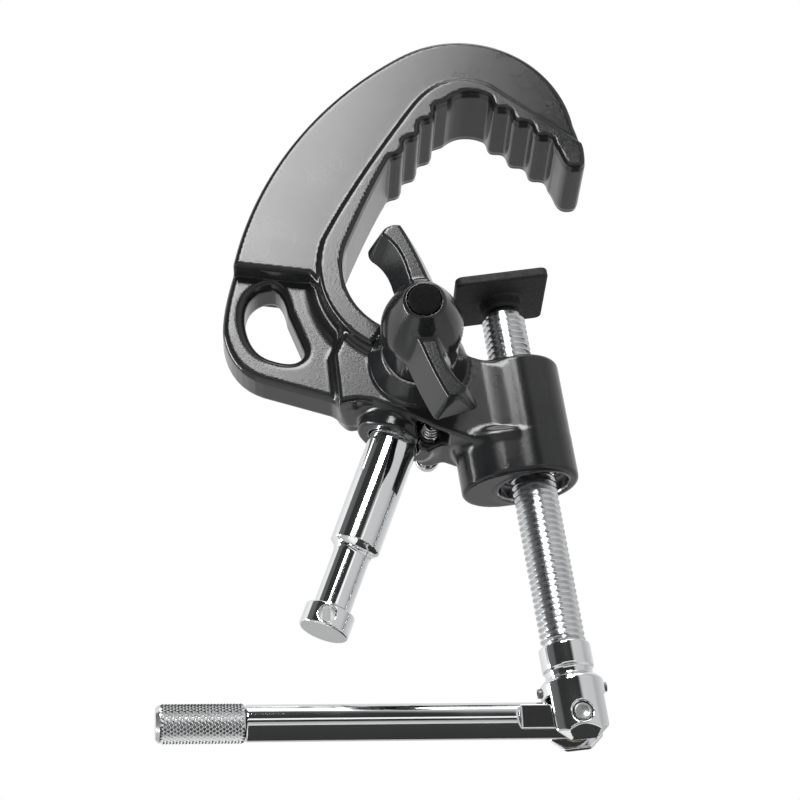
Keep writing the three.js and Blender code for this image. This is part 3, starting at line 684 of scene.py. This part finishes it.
ALONG_PIVOT = AT_PIVOT @ Matrix.Rotation(-math.pi / 2, 4, "X")


def fork_distance(x, y, z):
    r = np.sqrt(x ** 2 + y ** 2)
    head = meet(r - FORK_R, np.abs(z - (FORK_BOTTOM + FORK_TOP) / 2) - (FORK_TOP - FORK_BOTTOM) / 2, 0.7)
    across = np.abs(y) + 0 * x
    for side in (0.5, -0.5):
        across = np.maximum(across, np.abs(x * 0.866 + y * side))
    head = meet(head, (across - FORK_R - (z - FORK_BOTTOM - FORK_BEVEL)) * SLANT, 0.5)
    head = meet(head, (r - FORK_R + (z - FORK_TOP + 1.8)) * SLANT, 0.4)
    waist = np.maximum(r - COLLAR_R + 0.7, np.abs(z + 133) - 4)
    collar = meet(r - COLLAR_R, np.abs(z - COLLAR_TOP + 4.0) - 4.0, 0.7)
    solid = join(join(head, waist, 0.8), collar, 0.6)
    slot = np.maximum(np.abs(y) - SLOT_HALF, z - SLOT_TOP) + 0 * x
    solid = cut(solid, slot, 1.0)
    eye = np.sqrt(x ** 2 + (z - PIVOT_Z) ** 2) - 3.1 + 0 * y
    solid = cut(solid, eye, 0.8)
    solid = cut(solid, np.maximum(r - 5.3, -141 - z), 0.3)
    roll = np.sqrt(y ** 2 + (z - ROLL_PIN_Z) ** 2) - 1.8 + 0 * x
    return cut(solid, roll, 0.4)


def rod_distance(x, y, z):
    r = np.sqrt(y ** 2 + z ** 2)
    neck = HANDLE_LENGTH - GRIP_LENGTH
    shaft = meet(r - ROD_R, np.abs(x + (neck - 5.8) / 2) - (neck + 5.8) / 2, 0.4)
    shaft = np.minimum(shaft, np.maximum(r - 4.0, np.abs(x + 110.35) - 12.35))
    flat = np.maximum(TONGUE_HALF - np.abs(y), (np.abs(x + 3.75) - 10.1 - np.abs(y)) * SLANT)
    solid = cut(shaft, flat, 0.3)
    solid = np.maximum(solid, np.sqrt(np.maximum(x, 0) ** 2 + z ** 2) - ROD_R + 0 * y)
    return cut(solid, np.sqrt(x ** 2 + z ** 2) - PIN_HOLE_R + 0 * y, 0.5)


def chrome_material(name, colour, roughness):
    """Bright chrome plate with a faint haze and the slightest waviness."""
    material, tree, shader = new_material(name)
    cloud = noise(tree, 45, 3)
    light = tuple(min(1.0, c * 1.05) for c in colour) + (1,)
    dark = tuple(c * 0.92 for c in colour) + (1,)
    tree.links.new(mix_colour(tree, cloud, dark, light), shader.inputs["Base Color"])
    shader.inputs["Metallic"].default_value = 1.0
    tree.links.new(ramp(tree, cloud, 0.3, 0.7, roughness, roughness * 2.2), shader.inputs["Roughness"])
    bump = add_node(tree, "ShaderNodeBump", {"Height": noise(tree, 150, 2), "Strength": 0.02,
                                             "Distance": 0.0003})
    tree.links.new(bump.outputs["Normal"], shader.inputs["Normal"])
    return material


chrome = chrome_material("bright_chrome", (0.80, 0.81, 0.82), 0.05)
points, quads, normals = skin(fork_distance, (-10.1, -10.1, -154.7), (10.1, 10.1, -123), 0.36)
spin = np.array(TURN.to_3x3())
fork = mesh_piece("fork", points @ spin.T, quads, normals @ spin.T)
fit_out(fork, chrome, "screw", "chrome", "fork")


def turned_piece(name, profile, place, edge):
    """A turned piece, its corners eased, put where it belongs by a matrix."""
    obj = mesh_piece(name, *turned(ease(profile, edge), 72))
    outward(obj, 32)
    obj.data.transform(place)
    return obj


points, quads, normals = skin(rod_distance, (-122.9, -5.8, -5.8), (5.9, 5.8, 5.8), 0.36)
tip = np.array(LIFT.to_3x3())
points = points @ tip.T + np.array([0, 0, PIVOT_Z])
rod = mesh_piece("handle_bar", points @ spin.T, quads, normals @ tip.T @ spin.T)
fit_out(rod, chrome, "handle", "chrome", "handle_rod")

pivot = turned_piece("pivot_pin", [
    (0, -8.6), (1.9, -9.5), (2.5, -9.55), (2.9, -9.2), (2.9, 9.2), (2.5, 9.55), (1.9, 9.5), (0, 8.6)],
    ALONG_PIVOT, 0.2)
pin_steel = steel_material("pin_steel", (0.36, 0.38, 0.37), 0.34)
fit_out(pivot, pin_steel, "screw", "zinc_steel", "handle_pivot_pin")

refinish(steel_material("turned_brass", (0.62, 0.46, 0.2), 0.25), "handle_washer_front",
         "handle_washer_rear", "bolt_tip", "thread_insert")

# ---- knurled grip ------------------------------------------------------------------
# The last inch of the bar is a chromed sleeve with a diamond knurl rolled into it and
# a smooth chamfered end.
KNURL_ROWS = 25
KNURL_AROUND = 30


def knurl_tree():
    """Geometry nodes: small four-sided points on a staggered lattice round Z."""
    tree = bpy.data.node_groups.new("diamond_knurl", "GeometryNodeTree")
    face = tree.interface
    face.new_socket("Geometry", in_out="INPUT", socket_type="NodeSocketGeometry")
    for label in ("Around", "Rows"):
        face.new_socket(label, in_out="INPUT", socket_type="NodeSocketInt")
    for label in ("Radius", "Row step", "Base", "Half width", "Half length", "Height"):
        face.new_socket(label, in_out="INPUT", socket_type="NodeSocketFloat")
    face.new_socket("Material", in_out="INPUT", socket_type="NodeSocketMaterial")
    face.new_socket("Geometry", in_out="OUTPUT", socket_type="NodeSocketGeometry")
    given = tree.nodes.new("NodeGroupInput").outputs

    def maths(operation, a, b=0.0):
        return add_node(tree, "ShaderNodeMath", {0: a, 1: b}, operation=operation).outputs[0]

    index = tree.nodes.new("GeometryNodeInputIndex").outputs[0]
    row = maths("FLOOR", maths("DIVIDE", maths("ADD", index, 0.25), given["Around"]))
    column = maths("MODULO", index, given["Around"])
    stagger = maths("MULTIPLY", maths("MODULO", row, 2.0), 0.5)
    share = maths("DIVIDE", maths("ADD", column, stagger), given["Around"])
    angle = maths("MULTIPLY", share, 2 * math.pi)
    place = add_node(tree, "ShaderNodeCombineXYZ", {
        "X": maths("MULTIPLY", maths("COSINE", angle), given["Radius"]),
        "Y": maths("MULTIPLY", maths("SINE", angle), given["Radius"]),
        "Z": maths("ADD", given["Base"], maths("MULTIPLY", row, given["Row step"]))})
    dots = add_node(tree, "GeometryNodePoints", {
        "Count": maths("MULTIPLY", given["Around"], given["Rows"]), "Position": place.outputs[0]})
    point = add_node(tree, "GeometryNodeMeshCone", {
        "Vertices": 4, "Side Segments": 1, "Fill Segments": 1, "Radius Top": 0.0,
        "Radius Bottom": 1.0, "Depth": 1.0}, fill_type="NGON")
    turn = add_node(tree, "ShaderNodeCombineXYZ", {"Y": math.pi / 2})
    lying = add_node(tree, "GeometryNodeTransform", {"Geometry": point.outputs[0],
                                                       "Rotation": turn.outputs[0]})
    sized = add_node(tree, "GeometryNodeTransform", {
        "Geometry": lying.outputs[0],
        "Scale": add_node(tree, "ShaderNodeCombineXYZ", {
            "X": given["Height"], "Y": given["Half width"], "Z": given["Half length"]}).outputs[0]})
    heading = add_node(tree, "ShaderNodeCombineXYZ", {"Z": angle})
    scattered = add_node(tree, "GeometryNodeInstanceOnPoints", {
        "Points": dots.outputs[0], "Instance": sized.outputs[0], "Rotation": heading.outputs[0]})
    both = tree.nodes.new("GeometryNodeJoinGeometry")
    tree.links.new(given["Geometry"], both.inputs[0])
    tree.links.new(scattered.outputs[0], both.inputs[0])
    real = add_node(tree, "GeometryNodeRealizeInstances", {"Geometry": both.outputs[0]})
    dressed = add_node(tree, "GeometryNodeSetMaterial", {"Geometry": real.outputs[0],
                                                        "Material": given["Material"]})
    out = tree.nodes.new("NodeGroupOutput")
    tree.links.new(dressed.outputs[0], out.inputs[0])
    return tree


knurled = chrome_material("knurled_chrome", (0.74, 0.75, 0.76), 0.1)
start = HANDLE_LENGTH - GRIP_LENGTH + 0.3
root = GRIP_R - 0.5
grip_profile = [(4.3, start), (root - 0.1, start), (root, start + 0.3), (root, HANDLE_LENGTH - 1.2),
                (GRIP_R - 0.2, HANDLE_LENGTH - 1.15), (GRIP_R - 1.2, HANDLE_LENGTH), (0, HANDLE_LENGTH),
                (0, HANDLE_LENGTH - 5.7), (4.3, HANDLE_LENGTH - 5.7)]
grip = mesh_piece("knurled_grip", *turned(grip_profile, 84))
across = math.pi * 2 * GRIP_R / KNURL_AROUND
step = (GRIP_LENGTH - 0.3 - 3.3) / (KNURL_ROWS - 1)
grown(grip, knurl_tree(), {
    "Around": KNURL_AROUND, "Rows": KNURL_ROWS, "Radius": (root - 0.02) * MM, "Row step": step * MM,
    "Base": (start + 1.1) * MM, "Half width": across * 0.52 * MM, "Half length": step * 1.04 * MM,
    "Height": 0.5 * MM, "Material": knurled})
outward(grip, 20)
grip.data.transform(ALONG_HANDLE)
fit_out(grip, knurled, "handle", "knurled_chrome", "handle_grip")

# ---- wing knob ----------------------------------------------------------------------
# A moulded glass-filled nylon knob with two curved wings, over the head of the M10
# locking bolt. A dull round cap closes its front.
KNOB_R = 12.8
KNOB_SKIRT_Y = -37.4
KNOB_BORE_R = 5.3
CAP_SEAT_Y = -56.6
WING_REACH = 30.7
WING_TILT = math.radians(-8)
wing = [(-0.4, 2), (-1.0, 10), (-1.05, 16.5)]
wing += bend(wing[-1], (-1.2, 23.4), (-4.9, WING_REACH - 2.6))
wing += bend(wing[-1], (-3.4, WING_REACH), (-0.4, WING_REACH)) + [(1.3, WING_REACH - 0.9)]
wing += [(1.9, WING_REACH - 3.2)] + bend((1.9, WING_REACH - 3.2), (3.6, 19), (4.3, 10)) + [(4.8, 2)]


def knob_distance(x, y, z):
    dx, dz = x - KNOB_X, z - KNOB_Z
    u = dx * math.cos(WING_TILT) - dz * math.sin(WING_TILT)
    v = dx * math.sin(WING_TILT) + dz * math.cos(WING_TILT)
    r = np.sqrt(u ** 2 + v ** 2)
    front = np.clip((KNOB_SKIRT_Y - 3 - y) / 18.0, 0, 1)
    side = (r - (KNOB_R - 6.6 * front ** 1.5)) * 0.9
    dome = meet(side, np.abs(y + 47.9) - 10.5, 1.0)
    skirt = meet(r - (KNOB_R - 1.2 + (y + 37) * 0.04), np.abs(y + 31.6) - 7.0, 0.8)
    solid = join(dome, skirt, 0.9)
    for turn in (1, -1):
        draft = 0.3 * np.clip(y + 52, 0, 14)
        sides = (outline(wing, turn * u, turn * v) - draft) * 0.958
        sides = meet(sides, turn * v - WING_REACH - 0.05 * draft, 1.2)
        blade = meet(sides, np.abs(y + 45) - 7.0, 0.8)
        solid = join(solid, blade, 1.6)
    solid = cut(solid, np.maximum(r - KNOB_BORE_R, np.maximum(-52.3 - y, y + 20)), 0.3)
    return cut(solid, np.maximum(r - KNOB_BORE_R, y - CAP_SEAT_Y), 0.3)


points, quads, normals = skin(knob_distance, (-48, -58.6, -60), (-14, -24.6, 6), 0.5)
knob = mesh_piece("wing_knob", points, quads, normals)
nylon = dull_black("moulded_nylon", (0.011, 0.0115, 0.0125), 0.13, 0.2, 1500, 0.00004, 0.2)
fit_out(knob, nylon, "knob", "black_plastic", "wing_knob")

ALONG_KNOB = Matrix.Translation((KNOB_X * MM, 0, KNOB_Z * MM)) @ Matrix.Rotation(-math.pi / 2, 4, "X")
cap = turned_piece("knob_cap", [
    (0, -59.4), (2.2, -59.4), (4.4, -59.2), (5, -58.7), (5, -56.9), (0, -56.9)], ALONG_KNOB, 0.25)
cap_plastic = dull_black("dull_cap", (0.006, 0.006, 0.0065), 0.8, 0.95, 700, 0.0001)
cap_plastic.node_tree.nodes["Principled BSDF"].inputs["Specular IOR Level"].default_value = 0.15
fit_out(cap, cap_plastic, "knob", "matte_cap", "knob_cap")

BOLT_R = 5.0
BOLT_THREAD = 0.85
bolt_core = BOLT_R - BOLT_THREAD
bolt_profile = ease([(0, -52), (bolt_core, -52), (bolt_core, -11), (bolt_core - 0.6, -10.2),
                     (0, -10.2)], 0.25, 2)
bolt = mesh_piece("locking_bolt", *turned(bolt_profile, 64))
with_thread(bolt, BOLT_R, 1.5, BOLT_THREAD, -50.5, -12.2, zinc)
bolt.data.transform(ALONG_KNOB)
fit_out(bolt, zinc, "knob", "zinc_steel", "knob_bolt")

washer = turned_piece("knob_washer", [
    (5.4, -24.3), (9.5, -24.3), (9.5, -22.8), (5.4, -22.8)], ALONG_KNOB, 0.2)
fit_out(washer, zinc, "bolt_carriage", "zinc_steel", "knob_washer")

# ---- spigot ---------------------------------------------------------------------------
# The 16 mm lighting spigot, turned and chromed, with a shoulder, a waisted neck and a
# cross-drilled head. A groove near its upper end takes the safety pin.


SPIGOT_R = 8.0
NECK_R = 5.9
SHOULDER = 61.0
HEAD_AT = 87.3


def spigot_distance(x, y, z):
    down, off = socket_frame(x, y, z)
    upper = meet(off - SPIGOT_R, np.abs(down - 28.2) - 32.8, 0.8)
    groove = meet(SPIGOT_R - 1.2 - off, np.abs(down - GROOVE_AT) - 3.8, 0.2)
    solid = cut(upper, groove, 0.5)
    cone = np.clip((down - SHOULDER) / 1.8, 0, 1)
    taper = SPIGOT_R - (SPIGOT_R - NECK_R) * cone
    shoulder = np.maximum(off - taper, np.abs(down - SHOULDER - 0.5) - 1.5)
    neck = np.maximum(off - NECK_R, np.abs(down - 73) - 12)
    head = meet(off - SPIGOT_R, np.abs(down - HEAD_AT) - 3.7, 0.7)
    solid = np.minimum(solid, shoulder * 0.7)
    solid = join(join(solid, neck, 1.2), head, 0.8)
    dx, dz = x - KNOB_X, z - KNOB_Z
    side = dx * SOCKET_DOWN[2] - dz * SOCKET_DOWN[0]
    cross = np.sqrt(side ** 2 + (down - HEAD_AT) ** 2) - 2.5 + 0 * y
    return cut(solid, cross, 0.7)


points, quads, normals = skin(spigot_distance, (-81, -8.1, -112.5), (-20, 8.1, -18), 0.42)
spigot = mesh_piece("spigot", points, quads, normals)
fit_out(spigot, chrome, "spigot", "chrome", "spigot")

# ---- safety pin -------------------------------------------------------------------------
# A sprung cross pin beside the socket keeps the spigot from dropping out. Its button is
# at the back, and its conical spring shows in a pocket under the arm.
ALONG_PIN = Matrix.Translation((PIN_X * MM, 0, PIN_Z * MM)) @ Matrix.Rotation(-math.pi / 2, 4, "X")
pin = turned_piece("safety_pin", [
    (0, -4.8), (1.4, -4.8), (1.4, -3.3), (2.6, -3.1), (3, -2.6), (3, 0.5), (1.7, 1.2), (1.7, 7.6), (3, 8.4),
    (3, 12.6), (2.2, 13), (2.2, 17.3), (4, 17.3), (4, 20), (3.2, 20.8), (0, 20.8)], ALONG_PIN, 0.35)
fit_out(pin, chrome, "safety", "chrome", "safety_pin")

seed = bpy.data.meshes.new("pin_spring")
spring = bpy.data.objects.new("pin_spring", seed)
bpy.context.scene.collection.objects.link(spring)
grown(spring, COIL, {
    "Turns": 4.0, "Start radius": 1.9 * MM, "End radius": 3.0 * MM, "Height": 6.0 * MM, "Base": -10.7 * MM,
    "Half width": 0.36 * MM, "Crest width": 0.1 * MM, "Depth": 0.36 * MM, "Steps a turn": 28,
    "Round wire": True, "Material": zinc})
outward(spring)
spring.data.transform(ALONG_PIN)
fit_out(spring, zinc, "frame", "zinc_steel", "safety_pin_spring")

# ---- studio -------------------------------------------------------------------------------
# A pale floor well below the clamp, a bright even surround, large soft lights and dark
# cards that only the bright metal sees.
EYE = Vector((-0.1200, -0.8064, -0.3862))
RIGHT = Vector((0.98776, -0.03452, -0.15209))
UP = Vector((0.12495, -0.40847, 0.90418))
BACK = Vector((-0.09333, -0.91212, -0.39916))
LENS = 124.07

camera_data = bpy.data.cameras.new("camera")
camera_data.lens = LENS
camera_data.sensor_width = 36
camera_data.clip_end = 50
camera = bpy.data.objects.new("camera", camera_data)
turn = Matrix((RIGHT, UP, BACK)).transposed()
camera.matrix_world = Matrix.Translation(EYE) @ turn.to_4x4()
bpy.context.scene.collection.objects.link(camera)
bpy.context.scene.camera = camera


def card(name, centre, size, facing, colour, strength=None):
    """A flat studio card facing a point: a dark flag, or glowing where it has strength."""
    data = bpy.data.meshes.new(name)
    w, h = size[0] / 2, size[1] / 2
    data.from_pydata([(-w, -h, 0), (w, -h, 0), (w, h, 0), (-w, h, 0)], [], [(0, 1, 2, 3)])
    obj = bpy.data.objects.new(name, data)
    centre = Vector(centre)
    aim = (Vector(facing) - centre).to_track_quat("Z", "Y").to_matrix().to_4x4()
    obj.matrix_world = Matrix.Translation(centre) @ aim
    material, tree, shader = new_material(name)
    shader.inputs["Base Color"].default_value = (*colour, 1)
    shader.inputs["Roughness"].default_value = 0.9
    if strength:
        shader.inputs["Emission Color"].default_value = (1, 1, 1, 1)
        shader.inputs["Emission Strength"].default_value = strength
    data.materials.append(material)
    bpy.context.scene.collection.objects.link(obj)
    return obj


FLOOR_Z = -1.2
card("floor", (0, 0, FLOOR_Z), (12, 12), (0, 0, 0), (0.86, 0.86, 0.85))
MIDDLE = (-0.03, 0, -0.04)
flag = card("flag_below", (0, 0, -1.0), (3.0, 1.0), MIDDLE, (0.02, 0.02, 0.02))
strip = card("strip_front", (0, -2.2, 0.15), (2.6, 0.36), MIDDLE, (0, 0, 0), 1.2)
for shade in (flag, strip):
    shade.visible_camera = False
    shade.visible_shadow = False
    shade.visible_diffuse = False


def area_light(name, centre, size, power, lean=0.0):
    """A soft light aimed at the clamp, leaned by some degrees about its own axis."""
    data = bpy.data.lights.new(name, "AREA")
    data.shape = "RECTANGLE"
    data.size, data.size_y = size
    data.energy = power
    obj = bpy.data.objects.new(name, data)
    aim = (Vector(MIDDLE) - Vector(centre)).to_track_quat("-Z", "Y").to_matrix().to_4x4()
    tilt = Matrix.Rotation(math.radians(lean), 4, "Z")
    obj.matrix_world = Matrix.Translation(Vector(centre)) @ aim @ tilt
    obj.visible_camera = False
    bpy.context.scene.collection.objects.link(obj)


area_light("soft_front", (-0.17, -2.0, 1.44), (0.9, 1.0), 44, -18)
area_light("soft_left", (-1.6, 0.12, 0.05), (0.3, 1.1), 20)
area_light("soft_top", (0.3, -0.2, 1.6), (1.0, 0.8), 8)

world = bpy.data.worlds.new("surround")
world.use_nodes = True
sky = world.node_tree
backdrop = sky.nodes["Background"]
heading = add_node(sky, "ShaderNodeSeparateXYZ", {
    "Vector": add_node(sky, "ShaderNodeTexCoord").outputs["Generated"]})
forward = add_node(sky, "ShaderNodeMath", {0: heading.outputs["Y"], 1: -1.0}, operation="MULTIPLY")
bearing = add_node(sky, "ShaderNodeMath", {0: heading.outputs["X"], 1: forward.outputs[0]},
                   operation="ARCTAN2")
round_it = ramp(sky, bearing.outputs[0], -math.pi, math.pi, 0.0, 1.0)
bands = add_node(sky, "ShaderNodeValToRGB", {"Fac": round_it})
stops = ((-150, 0.85), (-100, 1.1), (-94, 0.16), (-60, 0.14), (-52, 0.04), (20, 0.035), (30, 0.7),
         (70, 0.66), (84, 0.5), (150, 0.85))
for i, (degrees, level) in enumerate(stops):
    at = (degrees + 180) / 360
    stop = bands.color_ramp.elements[i] if i < 2 else bands.color_ramp.elements.new(at)
    stop.position = at
    stop.color = (level, level, level, 1)
direct = add_node(sky, "ShaderNodeLightPath").outputs["Is Camera Ray"]
shown = add_node(sky, "ShaderNodeMath", {0: bands.outputs["Color"], 1: direct}, operation="MAXIMUM")
sky.links.new(shown.outputs[0], backdrop.inputs["Strength"])
backdrop.inputs["Color"].default_value = (1, 1, 1, 1)
bpy.context.scene.world = world
bpy.context.scene.view_settings.view_transform = "Standard"
